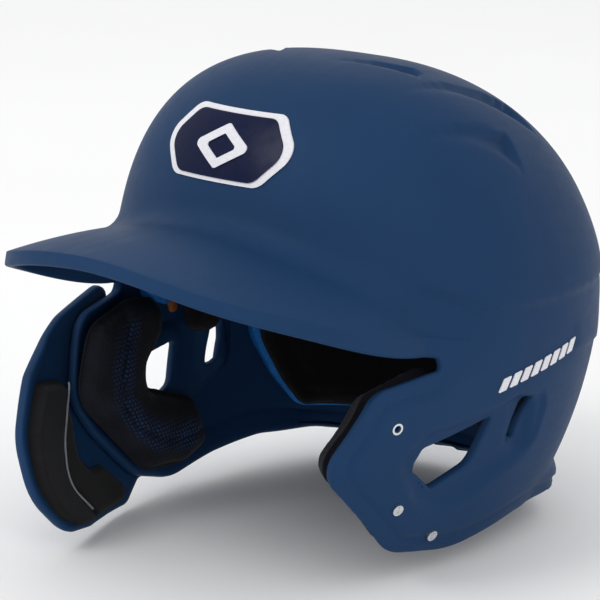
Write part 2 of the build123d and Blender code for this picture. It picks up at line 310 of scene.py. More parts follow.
def hit(start, direction, offset):
    """Where rays from inside the dome meet the dome grown by offset."""
    near = np.zeros(len(start))
    far = np.full(len(start), 400.0)
    for _ in range(30):
        middle = (near + far) / 2
        p = start + direction * middle[:, None]
        beyond = outside(p[:, 0], p[:, 1], p[:, 2], offset) > 0
        far = np.where(beyond, middle, far)
        near = np.where(beyond, near, middle)
    return start + direction * near[:, None]


def dome(turn, fall):
    """Point on the dome: turn from the front towards +X; fall is 0 at the apex, 1 at the brow
    line and grows by 1 for each 100 mm below it."""
    turn, fall = np.broadcast_arrays(turn, fall)
    s, c = np.sin(turn), np.cos(turn)
    depth = np.maximum(fall - 1, 0) * 100
    straight = np.where(c > 0, smooth(depth / FLAP_BLEND_DEPTH), 0)
    b = np.where(c > 0, FRONT_HALF + (FLAP_FRONT_HALF - FRONT_HALF) * straight, REAR_HALF)
    p = PLAN_POWER + FLAP_POWER_RISE * straight
    radius = (np.abs(s / HALF_WIDTH) ** p + np.abs(c / b) ** p) ** (-1 / p)
    q = BROW_POWER + (NAPE_POWER - BROW_POWER) * (1 - c) / 2
    tip = np.minimum(fall, 1) * math.pi / 2
    rho = (np.abs(np.sin(tip)) ** q + np.abs(np.cos(tip)) ** q) ** (-1 / q)
    above = np.where(fall <= 1, CROWN_RISE * rho * np.cos(tip), -depth)
    radius = radius * np.where(fall <= 1, rho * np.sin(tip), 1 - TAPER * (depth / 100) ** 2)
    run = -radius * c
    return np.stack([radius * s, run * math.cos(TILT) + above * math.sin(TILT) + CENTRE_Y,
                     -run * math.sin(TILT) + above * math.cos(TILT) + CENTRE_Z], -1)


def fall_at_height(turn, z):
    """The fall at which the dome is at height z."""
    low, high = np.full(len(turn), 0.05), np.full(len(turn), 2.0)
    for _ in range(30):
        middle = (low + high) / 2
        above = dome(turn, middle)[:, 2] > z
        low = np.where(above, middle, low)
        high = np.where(above, high, middle)
    return low


def lip(a):
    ahead = np.maximum(np.cos(a), 0)
    fall = (1 - LIP_STEEP_SHARE) * ahead + LIP_STEEP_SHARE * ahead ** 5
    wave = LIP_WAVE * np.sin(2 * a) ** 2 - LIP_WAVE * np.sin(4 * a)
    return np.stack([LIP_HALF_WIDTH * np.sin(a) ** (2 / LIP_POWER),
                     LIP_START_Y - LIP_REACH * ahead ** (2 / LIP_POWER),
                     LIP_END_Z + LIP_RISE * fall + wave], -1)


# The shell: one half is a sheet of columns round the dome, stretched at the front into the brim.
EDGE_FALL = 1.135
NECK_FALL = 0.70
CROWN_ROWS, NECK_ROWS, WALL_ROWS = 48, 30, 62
CREASE_ROUND = 0.55
SNAP_REACH = 0.42 * 1.35
FILLET_UP, FILLET_OUT = 8.0, 11.0
# Where the brim's top meets the dome: its height by the angle round from the front.
ROOT_TURNS = [0, 8, 16, 26, 36, 44, 50, 54, 58, 61.5]
ROOT_HEIGHTS = [98.5, 98, 96.3, 92.3, 88, 84, 79.5, 74, 66, 57.8]
LIP_FADE = math.radians(14)
# Where the walls' grid ends, by the angle round from the front.
WALL_END_TURNS, WALL_END_FALLS = [0, 95, 130, 180], [2.16, 2.14, 2.02, 1.90]


def degrees_spread(*parts):
    stops = [np.linspace(a, b, n, endpoint=False) for a, b, n in parts]
    return np.radians(np.concatenate(stops + [[180.0]]))


TURNS = degrees_spread((0, 38, 24), (38, 76, 56), (76, 128, 70), (128, 180, 32))


def grid_normals(grid):
    """Unit normals of a grid of points, rows going down and columns round towards +X."""
    down = np.empty_like(grid)
    down[1:-1] = grid[2:] - grid[:-2]
    down[0], down[-1] = grid[1] - grid[0], grid[-1] - grid[-2]
    wide = np.concatenate([grid[:, 1:2] * MIRROR, grid, grid[:, -2:-1] * MIRROR], 1)
    round_ = wide[:, 2:] - wide[:, :-2]
    normal = np.cross(down, round_)
    return normal / (np.linalg.norm(normal, axis=-1)[..., None] + 1e-12)


def upper_grid():
    """Rows from the apex to the lower edge of the brim's lip, and on round the dome."""
    a = np.linspace(0, math.pi / 2, 400)
    lips = lip(a)
    run = (lips[:, 1] - CENTRE_Y) * math.cos(TILT) - (lips[:, 2] - CENTRE_Z) * math.sin(TILT)
    lip_turn = np.arctan2(lips[:, 0], -run)
    last = lip_turn[-1]
    sweep = np.interp(TURNS, lip_turn, a)
    ahead = TURNS <= last
    edge = lip(sweep)
    band = 4.6 + 2.2 * np.sin(sweep) ** 4
    outward = np.stack([edge[:, 0], edge[:, 1] - CENTRE_Y, 0 * sweep], -1)
    outward /= np.linalg.norm(outward, axis=1)[:, None]
    crease = edge + np.stack([0 * band, 0 * band, band], -1) - outward * 0.9
    root_z = np.interp(np.degrees(TURNS), ROOT_TURNS, ROOT_HEIGHTS)
    root_z = np.maximum(root_z, crease[:, 2])
    end = np.array([last])
    crease_fall = float(fall_at_height(end, np.array([LIP_END_Z + 6.8]))[0])
    fade = np.where(ahead, 1.0, 1 - smooth((TURNS - last) / LIP_FADE))
    end_edge = lip(np.array([math.pi / 2]))[0]
    end_crease = end_edge + (0, 0, 6.8) - np.array([0.82, -0.57, 0]) * 0.9
    edge_push = end_edge - dome(end, np.array([EDGE_FALL]))[0]
    crease_push = end_crease - dome(end, np.array([crease_fall]))[0]
    dome_edge, dome_crease = dome(TURNS, EDGE_FALL + 0 * TURNS), dome(TURNS, crease_fall + 0 * TURNS)
    edge = np.where(ahead[:, None], edge, dome_edge + edge_push * fade[:, None])
    crease = np.where(ahead[:, None], crease, dome_crease + crease_push * fade[:, None])
    corner_fall = np.where(ahead, fall_at_height(TURNS, root_z), crease_fall)
    corner = dome(TURNS, corner_fall)
    fillet_fall = np.maximum(corner_fall - FILLET_UP * fade / 160, NECK_FALL + 0.01)
    columns = []
    for j, turn in enumerate(TURNS):
        on_dome = dome(turn, np.linspace(NECK_FALL, fillet_fall[j], 40))
        width = np.linalg.norm(crease[j] - corner[j])
        share = min(FILLET_OUT, 0.55 * width) / max(width, 1e-6)
        t = np.linspace(0, 1, 18)[1:, None]
        foot = corner[j] + (crease[j] - corner[j]) * share
        if width > 0.02:
            fillet = on_dome[-1] * (1 - t) ** 2 + corner[j] * 2 * t * (1 - t) + foot * t * t
            top = foot + (crease[j] - foot) * t
            top[:, 2] += (width * 0.02 * 4 * t * (1 - t))[:, 0]
            path = np.concatenate([on_dome, fillet, top])
        else:
            path = on_dome
        length = np.concatenate([[0], np.cumsum(np.linalg.norm(np.diff(path, axis=0), axis=1))])
        stops = np.linspace(0, length[-1] - CREASE_ROUND, NECK_ROWS)
        neck = np.stack([np.interp(stops, length, path[:, k]) for k in range(3)], 1)
        down = np.linspace(0, 1, 9)
        if ahead[j]:
            drop = crease[j] + (edge[j] - crease[j]) * down[:, None]
        else:
            push = crease_push + (edge_push - crease_push) * down[:, None]
            drop = dome(turn, crease_fall + (EDGE_FALL - crease_fall) * down) + push * fade[j]
        fallen = np.concatenate([[0], np.cumsum(np.linalg.norm(np.diff(drop, axis=0), axis=1))])
        stops = np.array([CREASE_ROUND, 0.4 * fallen[-1], 0.7 * fallen[-1], fallen[-1]])
        lower = np.stack([np.interp(stops, fallen, drop[:, k]) for k in range(3)], 1)
        middle = crease[j] * 0.7 + (neck[-1] + lower[0]) * 0.15
        crown = dome(turn, np.linspace(0, NECK_FALL, CROWN_ROWS, endpoint=False))
        columns.append(np.concatenate([crown, neck, middle[None], lower]))
    grid = np.stack(columns, 1)
    shared = TURNS >= last
    return grid, shared, edge_push, fade


def lower_grid(edge_row, shared, edge_push, fade):
    """Rows from the edge down, for the flaps, the sides and the nape."""
    bottom = np.interp(np.degrees(TURNS), WALL_END_TURNS, WALL_END_FALLS)
    share = np.linspace(0, 1, WALL_ROWS)[:, None]
    fall = EDGE_FALL + (bottom - EDGE_FALL) * share
    grid = dome(TURNS[None], fall)
    push = fade * (1 - smooth((fall - EDGE_FALL) / 0.16))
    grid = grid + edge_push * np.where(shared, push, 0)[..., None]
    grid[0] = np.where(shared[:, None], edge_row, grid[0])
    return grid


# Creases on the sides: line (y, z), height, reach above it, and the shares over which its ends fade.
CREASES = [
    ([(-30, 84), (-5, 75), (20.5, 64.4), (57, 62.9), (101, 61.8), (150, 63)], 2.0, 34.0, 0.12, 0.25),
    ([(74, 34.5), (83, 33.6), (102, 32.0), (130, 29)], 1.2, 20.0, 0.2, 0.3),
]
CREASE_WIDTH = 2.6
RECESS_DEPTH, RECESS_SLOPE = 3.2, 6.5
VENT_RECESS = [(36, 22, 2), (62, 20, 8), (56, -8, 8), (31, -4, 2)]
VENT_DEPTH, VENT_SLOPE = 1.6, 2.5
# The nape flares out towards the hem, with a bead above it.
FLARE, FLARE_TOP_Z, FLARE_FALL = 7.6, -27.0, 15.0
BEAD, BEAD_Z, BEAD_WIDTH = 1.3, -34.0, 2.4
# Scoops in plan: start (x, y), end (x, y), half widths there, and depth at the end.
SCOOPS = [
    ((12, 12), (47, 40), 1.0, 6.0, 3.2),
    ((56, 14), (65, 92), 1.5, 9.0, 3.8),
    ((76, 0), (90, 56), 1.5, 6.5, 3.4),
]


def relief(points, shift):
    """How far the outer surface stands proud of the dome, in millimetres."""
    flat = points.reshape(-1, 3)
    side = flat[:, 1:].copy()
    side[:, 0] -= shift * smooth((side[:, 0] + 30) / 20) * smooth((40 - side[:, 1]) / 10)
    height = np.zeros(len(flat))
    wall = flat[:, 2] < 46
    depth = np.zeros(len(flat))
    depth[wall] = inside(side[wall], rounded(EAR_RECESS))
    height -= RECESS_DEPTH * smooth(depth / RECESS_SLOPE)
    vent = np.zeros(len(flat))
    vent[wall] = inside(side[wall], rounded(VENT_RECESS))
    height -= VENT_DEPTH * smooth(vent / VENT_SLOPE) * smooth((side[:, 0] - 34) / 8)
    for line, step, reach, lead_in, lead_out in CREASES:
        distance, above, share = along(side, line)
        ends = smooth(share / lead_in) * smooth((1 - share) / lead_out)
        height += step * smooth(0.5 + distance * above / CREASE_WIDTH) * (1 - smooth(distance / reach)) * ends
    nape = smooth((flat[:, 1] - 76) / 32)
    height += nape * FLARE * smooth((FLARE_TOP_Z - flat[:, 2]) / FLARE_FALL)
    height += nape * BEAD * np.exp(-((flat[:, 2] - BEAD_Z) / BEAD_WIDTH) ** 2)
    plan = np.stack([np.abs(flat[:, 0]), flat[:, 1]], 1)
    top = smooth((flat[:, 2] - 95) / 12)
    for start, end, first, last, deepest in SCOOPS:
        start, run = np.array(start, float), np.array(end, float) - start
        length = np.linalg.norm(run)
        t = ((plan - start) @ run) / length ** 2
        off = ((plan - start) @ np.array([-run[1], run[0]])) / length
        half = first + (last - first) * np.clip(t, 0, 1)
        shape = smooth((half - off) / 1.8) * smooth((half + off) / (half + 1.5))
        shape *= np.clip(t, 0, 1) * smooth((1.0 - t) * length / 3.0) * (t > 0)
        height -= deepest * shape * top
    return height.reshape(points.shape[:-1])


BORDER_WIDTH, BORDER_STEP, GROOVE_DEPTH, GROOVE_WIDTH = 6.4, 0.8, 1.0, 1.1


def border(depth, points):
    """The border along the flap's and the nape's edge is a little lower than the panel, behind a groove."""
    y, z = points[..., 1], points[..., 2]
    fade = 1 - smooth((y - 2) / 14) * smooth((z - 8) / 12)
    fade = fade * (1 - smooth((y + 18) / 10) * smooth((z - 32) / 6))
    groove = GROOVE_DEPTH * np.exp(-((depth - BORDER_WIDTH) / GROOVE_WIDTH) ** 2)
    return -(BORDER_STEP * (1 - smooth((depth - BORDER_WIDTH + 1) / 1.4)) + groove) * fade


def half_shell(shift, flap, holes):
    upper, shared, edge_push, fade = upper_grid()
    lower = lower_grid(upper[-1], shared, edge_push, fade)
    region = Region(flap, holes, [(y, z, FASTENER_RADIUS) for y, z in FASTENERS])
    up_normal, low_normal = grid_normals(upper), grid_normals(lower)
    value = region(lower.reshape(-1, 3)[:, 1:]).reshape(lower.shape[:2])
    outline = inside(lower.reshape(-1, 3)[:, 1:], region.line).reshape(value.shape)
    # The first rows of the neck and the brim have no relief; it fades in with the dome.
    brim = np.clip((upper[..., 1] + 20) / 15, 0, 1)
    upper = upper + up_normal * (relief(upper, shift) * smooth(brim))[..., None]
    raised = relief(lower, shift) + border(outline, lower)
    raised[0] = 0
    raised *= smooth(np.arange(len(raised)) / 3.0)[:, None] * 0.999
    lower = lower + low_normal * raised[..., None]
    lower[0] = np.where(shared[:, None], upper[-1], lower[0])
    up_normal, low_normal = grid_normals(upper), grid_normals(lower)
    join = up_normal[-1] + low_normal[0]
    join /= np.linalg.norm(join, axis=1)[:, None]
    up_normal[-1] = np.where(shared[:, None], join, up_normal[-1])
    value[0] = np.where(lower[0, :, 1] > -14.5, np.maximum(value[0], 0), -1)
    # Thickness grows towards the rims.
    up_thick = np.full(upper.shape[:2], WALL)
    ahead = 1 - smooth((TURNS - TURNS[shared][0]) / math.radians(8))
    rows = np.linspace(0, 1, NECK_ROWS + 5)[:, None]
    up_thick[-(NECK_ROWS + 5):] += RIM_GROWTH * ahead * smooth((rows - 0.3) / 0.6)
    low_thick = WALL + RIM_GROWTH * (1 - smooth((value - 0.5) / 7.0))
    low_thick[0] = up_thick[-1]
    rows_up, columns = upper.shape[:2]
    rows_low = lower.shape[0]
    start = rows_up * columns
    quads = np.concatenate([grid_quads(rows_up, columns), grid_quads(rows_low, columns, start)])
    points = np.concatenate([upper.reshape(-1, 3), lower.reshape(-1, 3)])
    normals = np.concatenate([up_normal.reshape(-1, 3), low_normal.reshape(-1, 3)])
    thick = np.concatenate([up_thick.ravel(), low_thick.ravel()])
    worth = np.concatenate([np.full(start, 50.0), value.ravel()])
    # Row 0 of the lower grid is the last row of the upper grid where they join, and the apex is one point.
    same = np.arange(len(points))
    twins = start + np.where(shared)[0]
    same[twins] = start - columns + np.where(shared)[0]
    unsnapped = worth.copy()
    # Points near the outline slide onto it.
    near = (np.abs(worth) < SNAP_REACH) & (np.arange(len(points)) >= start + columns)
    points[near] = onto(region, points[near], normals[near])
    worth[near] = 0
    faces_up = [tuple(f) for f in grid_quads(rows_up, columns).tolist()]
    faces_low, cuts = clip(grid_quads(rows_low, columns, start), worth)
    a = np.array([c[0] for c in cuts])
    b = np.array([c[1] for c in cuts])
    t = unsnapped[a] / (unsnapped[a] - unsnapped[b])
    t = np.clip(np.where(worth[a] == worth[b], 0.5, t), 0.1, 0.9)[:, None]
    cut_normals = normals[a] * (1 - t) + normals[b] * t
    cut_normals /= np.linalg.norm(cut_normals, axis=1)[:, None]
    cut_points = onto(region, points[a] * (1 - t) + points[b] * t, cut_normals)
    cut_thick = thick[a] * (1 - t[:, 0]) + thick[b] * t[:, 0]
    points = np.concatenate([points, cut_points])
    normals = np.concatenate([normals, cut_normals])
    thick = np.concatenate([thick, cut_thick])
    same = np.concatenate([same, np.arange(len(same), len(points))])
    same[:columns] = 0
    faces = []
    for face in faces_up + faces_low:
        ring = [int(same[i]) for i in face]
        ring = [v for k, v in enumerate(ring) if v != ring[k - 1]]
        if len(ring) >= 3:
            faces.append(tuple(ring))
    normals[0] = (0, math.sin(TILT), math.cos(TILT))
    return points, normals, thick, faces


def onto(region, points, normals):
    """Slides points along the surface until they are on the region's outline."""
    points = points.copy()
    for _ in range(3):
        value = region(points[:, 1:])
        slope = region.slope(points[:, 1:])
        pull = np.concatenate([np.zeros((len(points), 1)), slope], 1)
        pull -= (pull * normals).sum(1)[:, None] * normals
        size = (pull * pull).sum(1) + 1e-6
        step = np.clip(value / size, -1.5, 1.5)
        points -= pull * step[:, None]
    return points


def shell_mesh():
    points, normals, thick, faces = half_shell(0.0, FLAP_OUTLINE, (EAR_HOLE, SIDE_VENT))
    right = half_shell(RIGHT_SHIFT, RIGHT_FLAP_OUTLINE, (RIGHT_EAR_HOLE, RIGHT_SIDE_VENT))
    count = len(points)
    points = np.concatenate([points, right[0] * MIRROR])
    normals = np.concatenate([normals, right[1] * MIRROR])
    thick = np.concatenate([thick, right[2]])
    faces += [tuple(int(i) + count for i in reversed(face)) for face in right[3]]
    # The halves are joined along the middle.
    seam = {}
    same = np.arange(len(points))
    for i in np.where(np.abs(points[:, 0]) < 1e-4)[0]:
        key = (round(float(points[i, 1]), 3), round(float(points[i, 2]), 3))
        same[i] = seam.setdefault(key, i)
    points[np.abs(points[:, 0]) < 1e-4, 0] = 0
    faces = [tuple(int(same[i]) for i in face) for face in faces]
    faces = [face for face in faces if len(set(face)) == len(face)]
    inner = points - normals * thick[:, None]
    return closed_sheet(points, inner, faces, RIM_BULGE)


# Plates and pads: sheets over a height field, cut to an outline.

def left_point(uv, offset):
    start = np.stack([0 * uv[:, 0], uv[:, 0], uv[:, 1]], 1)
    return hit(start, np.array([1.0, 0, 0]), offset)


def right_point(uv, offset):
    return left_point(uv, offset) * MIRROR


def guard_point(uv, offset):
    """The guard follows the right flap, then runs on forward with a slight curl."""
    y = np.maximum(uv[:, 0], -48.0)
    base = left_point(np.stack([y, uv[:, 1]], 1), offset)
    ahead = left_point(np.stack([y + 1, uv[:, 1]], 1), offset)
    run = y - uv[:, 0]
    x = base[:, 0] - (ahead[:, 0] - base[:, 0]) * run - 0.0012 * run * run
    return np.stack([-x, uv[:, 0], uv[:, 1]], 1)


def crown_point(uv, offset):
    start = np.stack([uv[:, 0], uv[:, 1], np.full(len(uv), CENTRE_Z)], 1)
    return hit(start, np.array([0, 0, 1.0]), offset)


def front_point(uv, offset):
    start = np.stack([uv[:, 0], np.full(len(uv), CENTRE_Y), uv[:, 1]], 1)
    return hit(start, np.array([0, -1.0, 0]), offset)


def plate(region, place, outer, inner, cell, bulge, flip=False):
    """A closed sheet over the region. outer and inner give offsets from (uv, distance inside)."""
    low, high = region.line.min(0) - cell, region.line.max(0) + cell
    us = np.arange(low[0], high[0] + cell, cell)
    vs = np.arange(low[1], high[1] + cell, cell)
    uv = np.stack(np.meshgrid(us, vs, indexing="ij"), -1).reshape(-1, 2)
    value = region(uv)
    near = np.abs(value) < 0.4 * cell
    for _ in range(2):
        uv[near] -= (region(uv[near])[:, None] * region.slope(uv[near]))
    value[near] = 0
    faces, cuts = clip(grid_quads(len(us), len(vs)), value)
    a = np.array([c[0] for c in cuts], int)
    b = np.array([c[1] for c in cuts], int)
    t = (value[a] / (value[a] - value[b]))[:, None]
    extra = uv[a] * (1 - t) + uv[b] * t
    for _ in range(2):
        extra -= region(extra)[:, None] * region.slope(extra)
    uv = np.concatenate([uv, extra])
    used = np.unique(np.fromiter((i for face in faces for i in face), int))
    number = np.full(len(uv), -1)
    number[used] = np.arange(len(used))
    uv = uv[used]
    faces = [tuple(int(number[i]) for i in face) for face in faces]
    depth = np.maximum(region(uv), 0)
    top, bottom = place(uv, outer(uv, depth)), place(uv, inner(uv, depth))
    if flip:
        faces = [tuple(reversed(face)) for face in faces]
    points, faces = closed_sheet(top, bottom, faces, bulge)
    return points, faces, uv, depth


def pillow(edge):
    """A crowned profile: 0 at the outline and 1 from edge inwards."""
    return lambda depth: np.sqrt(np.clip(1 - (1 - np.clip(depth / edge, 0, 1)) ** 2, 0, 1))


# Materials

def srgb(r, g, b):
    def linear(c):
        c /= 255
        return c / 12.92 if c <= 0.04045 else ((c + 0.055) / 1.055) ** 2.4
    return (linear(r), linear(g), linear(b), 1)


class Nodes:
    """A material's node tree, built a node at a time."""

    def __init__(self, name, roughness=0.5, metallic=0.0, **inputs):
        self.material = bpy.data.materials.new(name)
        self.material.use_nodes = True
        self.tree = self.material.node_tree
        self.shader = self.tree.nodes["Principled BSDF"]
        self.shader.inputs["Roughness"].default_value = roughness
        self.shader.inputs["Metallic"].default_value = metallic
        for key, value in inputs.items():
            self.shader.inputs[key.replace("_", " ")].default_value = value
        self.where = self.add("ShaderNodeTexCoord").outputs["Object"]
        self.bump = None

    def add(self, kind, settings=None, **links):
        node = self.tree.nodes.new(kind)
        for key, value in (settings or {}).items():
            setattr(node, key, value)
        for key, value in links.items():
            socket = node.inputs[int(key[1:])] if key[0] == "i" and key[1:].isdigit() else node.inputs[key]
            if isinstance(value, bpy.types.NodeSocket):
                self.tree.links.new(value, socket)
            else:
                socket.default_value = value
        return node

    def link(self, source, name):
        self.tree.links.new(source, self.shader.inputs[name])

    def math(self, operation, a, b=0.0):
        return self.add("ShaderNodeMath", {"operation": operation}, i0=a, i1=b).outputs[0]

    def noise(self, scale, detail=3.0, where=None, roughness=0.55):
        return self.add("ShaderNodeTexNoise", Vector=where or self.where, Scale=scale, Detail=detail,
                        Roughness=roughness).outputs["Fac"]

    def stretched(self, x, y, z):
        return self.add("ShaderNodeMapping", Vector=self.where, Scale=(x, y, z)).outputs["Vector"]

    def axes(self):
        return self.add("ShaderNodeSeparateXYZ", Vector=self.where).outputs[:3]

    def ramp(self, value, *stops):
        node = self.add("ShaderNodeValToRGB", Fac=value)
        while len(node.color_ramp.elements) < len(stops):
            node.color_ramp.elements.new(0.5)
        for element, (place, colour) in zip(node.color_ramp.elements, stops):
            element.position = place
            element.color = colour if len(colour) == 4 else (*colour, 1)
        return node.outputs["Color"]

    def scale(self, value, low, high, source_low=0.3, source_high=0.7):
        node = self.add("ShaderNodeMapRange", Value=value)
        for key, number in zip(("From Min", "From Max", "To Min", "To Max"),
                               (source_low, source_high, low, high)):
            node.inputs[key].default_value = number
        return node.outputs["Result"]

    def add_bump(self, height, distance, strength=1.0):
        node = self.add("ShaderNodeBump", Height=height, Distance=distance, Strength=strength)
        if self.bump:
            self.tree.links.new(self.bump, node.inputs["Normal"])
        self.bump = node.outputs["Normal"]
        self.tree.links.new(self.bump, self.shader.inputs["Normal"])

    def mix(self, factor, a, b):
        node = self.add("ShaderNodeMix", {"data_type": "RGBA"})
        for socket, value in ((node.inputs[0], factor), (node.inputs[6], a), (node.inputs[7], b)):
            if isinstance(value, bpy.types.NodeSocket):
                self.tree.links.new(value, socket)
            else:
                socket.default_value = value
        return node.outputs[2]


def tinted(colour, factor):
    return (*(c * factor for c in colour[:3]), 1)


def paint(name, colour, roughness=0.5, orange_peel=0.00006):
    """Satin paint on moulded plastic: slight mottling, orange peel, fine dust and scuffs."""
    m = Nodes(name, Specular_IOR_Level=0.08)
    mottled = m.ramp(m.noise(9.0, 4), (0.3, tinted(colour, 0.93)), (0.7, tinted(colour, 1.07)))
    specks = m.ramp(m.noise(1400.0, 2), (0.62, (0, 0, 0)), (0.78, (1, 1, 1)))
    m.link(m.mix(m.math("MULTIPLY", specks, 0.05), mottled, tinted(colour, 2.2)), "Base Color")
    scuffs = m.noise(220.0, 5, m.stretched(1.0, 0.15, 1.0))
    m.link(m.scale(m.math("ADD", m.math("MULTIPLY", scuffs, 0.5), m.math("MULTIPLY", m.noise(30.0), 0.5)),
                   roughness - 0.05, roughness + 0.07), "Roughness")
    m.add_bump(m.noise(420.0, 2), orange_peel)
    m.add_bump(m.noise(2600.0, 3), orange_peel * 0.3)
    return m.material


def foam(name, colour):
    """Closed-cell foam: pale bead borders, dimples and fine pores."""
    m = Nodes(name, roughness=0.75)
    beads = m.add("ShaderNodeTexVoronoi", {"feature": "DISTANCE_TO_EDGE"}, Vector=m.where, Scale=340.0)
    shade = m.ramp(m.noise(60.0, 4), (0.3, tinted(colour, 0.85)), (0.7, tinted(colour, 1.15)))
    edges = m.ramp(beads.outputs["Distance"], (0.0, (1, 1, 1)), (0.12, (0, 0, 0)))
    m.link(m.mix(m.math("MULTIPLY", edges, 0.25), shade, tinted(colour, 0.5)), "Base Color")
    m.add_bump(m.ramp(beads.outputs["Distance"], (0.0, (0, 0, 0)), (0.3, (1, 1, 1))), 0.0003)
    m.add_bump(m.noise(1800.0, 3), 0.00008)
    return m.material


def woven(name, colour, pitch, sheen=0.35, relief_depth=0.0002, fuzz_sheen=0.5, highlight=1.6):
    """Knitted or brushed cloth: two crossed wave sets for the threads, and fibre noise whose pale specks are
    painted sheen on the fibres.
    """
    m = Nodes(name, roughness=0.9, Sheen_Weight=sheen, Sheen_Roughness=0.45, Specular_IOR_Level=0.15)
    turn = 2 * math.pi / pitch / MM
    x, y, z = m.axes()
    run = m.math("ADD", y, m.math("MULTIPLY", x, 0.8))
    warp = m.math("SINE", m.math("MULTIPLY", run, turn))
    weft = m.math("SINE", m.math("MULTIPLY", m.math("ADD", z, m.math("MULTIPLY", x, 0.35)), turn))
    threads = m.math("MAXIMUM", m.math("ABSOLUTE", warp), m.math("ABSOLUTE", weft))
    fibres = m.noise(2400.0, 4)
    patch = m.ramp(m.noise(45.0, 5), (0.3, tinted(colour, 0.75)), (0.72, tinted(colour, 1.3)))
    # Pale fibre specks in a lighter copy of the cloth's colour: painted sheen where light catches the fuzz.
    pale = m.math("MULTIPLY", m.ramp(fibres, (0.5, (0, 0, 0)), (0.8, (1, 1, 1))), fuzz_sheen)
    m.link(m.mix(pale, patch, tinted(colour, highlight * 2.0)), "Base Color")
    m.add_bump(threads, relief_depth)
    m.add_bump(fibres, relief_depth * 0.9)
    return m.material


def mesh_cloth(name, colour, under, pitch):
    """Spacer mesh: hexagonal holes in a black knit, showing a blue layer in the middle panel."""
    m = Nodes(name, roughness=0.85, Sheen_Weight=0.04, Specular_IOR_Level=0.15)
    x, y, z = m.axes()
    wide, tall = 1 / (pitch * MM), 1 / (pitch * MM * 1.732)

    def cell(shift):
        gaps = []
        for source, rate in ((y, wide), (z, tall)):
            part = m.math("FRACT", m.math("ADD", m.math("MULTIPLY", source, rate), 50 + shift))
            gaps.append(m.math("MULTIPLY", m.math("SUBTRACT", part, 0.5), 1 / rate / MM / pitch))
        return m.math("SQRT", m.math("ADD", m.math("POWER", gaps[0], 2), m.math("POWER", gaps[1], 2)))

    nearest = m.math("MINIMUM", cell(0.0), cell(0.5))
    panel = m.add("ShaderNodeAttribute", {"attribute_name": "panel"}).outputs["Fac"]
    hole = m.ramp(nearest, (0.24, (1, 1, 1)), (0.36, (0, 0, 0)))
    mottled = m.ramp(m.noise(55.0, 4), (0.3, tinted(colour, 0.7)), (0.7, tinted(colour, 1.35)))
    through = m.ramp(m.noise(70.0, 3), (0.35, tinted(under, 0.45)), (0.7, tinted(under, 1.3)))
    shown = m.math("MULTIPLY", hole, panel)
    m.link(m.mix(shown, mottled, through), "Base Color")
    deep = m.math("MULTIPLY", hole, m.math("ADD", m.math("MULTIPLY", panel, 0.8), 0.2))
    m.add_bump(m.math("SUBTRACT", 1.0, deep), 0.0004)
    m.add_bump(m.noise(2200.0, 4), 0.00015)
    return m.material


def steel(name):
    m = Nodes(name, roughness=0.28, metallic=1.0)
    turned = m.noise(900.0, 3, m.stretched(1.0, 0.1, 1.0))
    m.link(m.ramp(turned, (0.3, (0.62, 0.63, 0.65)), (0.7, (0.8, 0.81, 0.82))), "Base Color")
    m.link(m.scale(turned, 0.2, 0.4), "Roughness")
    m.add_bump(turned, 0.00002)
    return m.material


def decal(name, colour, roughness=0.3):
    """Printed film: faint print grain, a slight ripple, and rubbed patches."""
    m = Nodes(name, Specular_IOR_Level=0.12)
    grain = m.noise(700.0, 3)
    m.link(m.ramp(grain, (0.3, tinted(colour, 0.93)), (0.7, tinted(colour, 1.04))), "Base Color")
    m.link(m.scale(m.noise(120.0, 4), roughness - 0.06, roughness + 0.12), "Roughness")
    m.add_bump(m.noise(260.0, 2), 0.00004)
    return m.material


def leather(name, colour):
    m = Nodes(name, roughness=0.55)
    cells = m.add("ShaderNodeTexVoronoi", Vector=m.where, Scale=900.0).outputs["Distance"]
    m.link(m.ramp(m.noise(150.0, 5), (0.3, tinted(colour, 0.6)), (0.7, tinted(colour, 1.5))), "Base Color")
    m.add_bump(cells, 0.0002)
    m.add_bump(m.noise(1500.0, 4), 0.00008)
    return m.material


NAVY = srgb(27, 56, 91)
SHELL_PAINT = paint("shell_paint", NAVY)
GUARD_PAINT = paint("guard_paint", NAVY, roughness=0.5, orange_peel=0.00009)
BLUE_FOAM = foam("blue_bead_foam", srgb(4, 112, 196))
BLACK_CLOTH = woven("black_knit", srgb(13, 13, 16), 1.1, sheen=0.06)
LOOP_CLOTH = woven("loop_cloth", srgb(11, 11, 13), 0.9, sheen=0.12, fuzz_sheen=0.5)
GUARD_CLOTH = woven("brushed_cloth", srgb(25, 25, 27), 0.8, sheen=0.08, fuzz_sheen=0.7, relief_depth=0.0003)
EAR_CLOTH = mesh_cloth("spacer_mesh", srgb(23, 24, 31), srgb(26, 62, 112), 2.3)
STEEL = steel("plated_steel")
WHITE_FILM = decal("white_film", srgb(222, 222, 228))
NAVY_FILM = decal("navy_film", srgb(3, 14, 50), 0.24)
TAB_LEATHER = leather("tab_leather", srgb(150, 86, 34))
PIPING = woven("piping", srgb(150, 152, 162), 0.6, fuzz_sheen=0.3)

for node, material in {
    "badge_base": WHITE_FILM, "badge_mark": WHITE_FILM, "badge_field": NAVY_FILM,
    "left_side_graphic": WHITE_FILM, "right_side_graphic": WHITE_FILM,
    "guard_screws": STEEL, "right_tee_nuts": STEEL, "left_tee_nuts": STEEL,
    "left_plug_screws": STEEL,
}.items():
    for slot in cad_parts[node].material_slots:
        slot.material = material


# Pieces: shell and guard

points, faces = shell_mesh()
shell, _ = piece("shell_moulding", points, faces, SHELL_PAINT)
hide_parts("shell")

GUARD_OUTLINE = [
    (-20, 45.5, 6), (-49, 36, 14), (-80, 16.5, 14), (-99, -6.5, 24), (-102, -30, 20), (-86, -48.5, 20),
    (-62, -52.5, 30), (-28, -53, 10), (-14, -45, 9), (8, -44.5, 6), (10.5, -36, 6), (-4, -27.5, 9),
    (-31.5, -8.5, 9), (-27.5, 20, 9), (-13.5, 40.5, 4),
]
guard_region = Region(GUARD_OUTLINE, (), [(y, z, GUARD_FASTENER_RADIUS) for y, z in FASTENERS])


